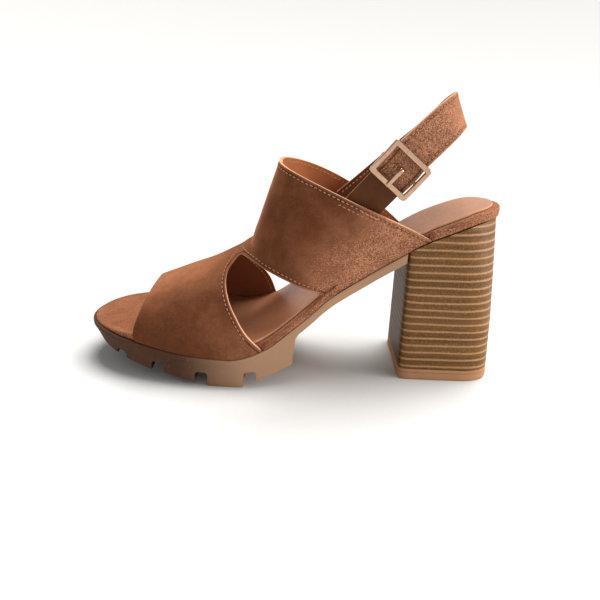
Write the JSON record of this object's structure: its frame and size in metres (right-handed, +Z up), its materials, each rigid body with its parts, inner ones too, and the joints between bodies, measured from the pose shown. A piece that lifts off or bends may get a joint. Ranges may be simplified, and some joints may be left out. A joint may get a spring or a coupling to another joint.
{
  "type": "block heel sandal",
  "caption": "Left open-toe slingback sandal with a wide vamp and instep band, side cut-outs, lugged platform sole and high block heel.",
  "frame": {"origin": "on the floor, under the middle of the shoe's box", "axes": "+X from toe to heel, +Y from the outer side to the inner side, +Z up"},
  "size_m": [0.2372, 0.0866, 0.1575],
  "materials": {
    "sole_rubber": "matt moulded rubber, taupe brown",
    "heel_stack": "satin, stacked-look brown bands with ochre lines",
    "lift_rubber": "matt tan rubber",
    "rim_suede": "short-nap synthetic suede, chestnut",
    "insole_skin": "smooth pinkish tan, faint sheen",
    "upper_suede": "short-nap synthetic suede, chestnut",
    "strap_suede": "short-nap synthetic suede, chestnut",
    "buckle_metal": "polished pale rose gold"
  },
  "bodies": {
    "root": {"outsole": "sole_rubber", "heel_block": "heel_stack", "heel_toplift": "lift_rubber", "footbed": "rim_suede", "insole": "insole_skin", "upper": "upper_suede", "sling_strap": "strap_suede", "buckle_tab": "strap_suede", "buckle_frame": "buckle_metal", "buckle_bar": "buckle_metal", "buckle_prong": "buckle_metal"}
  },
  "joints": []
}
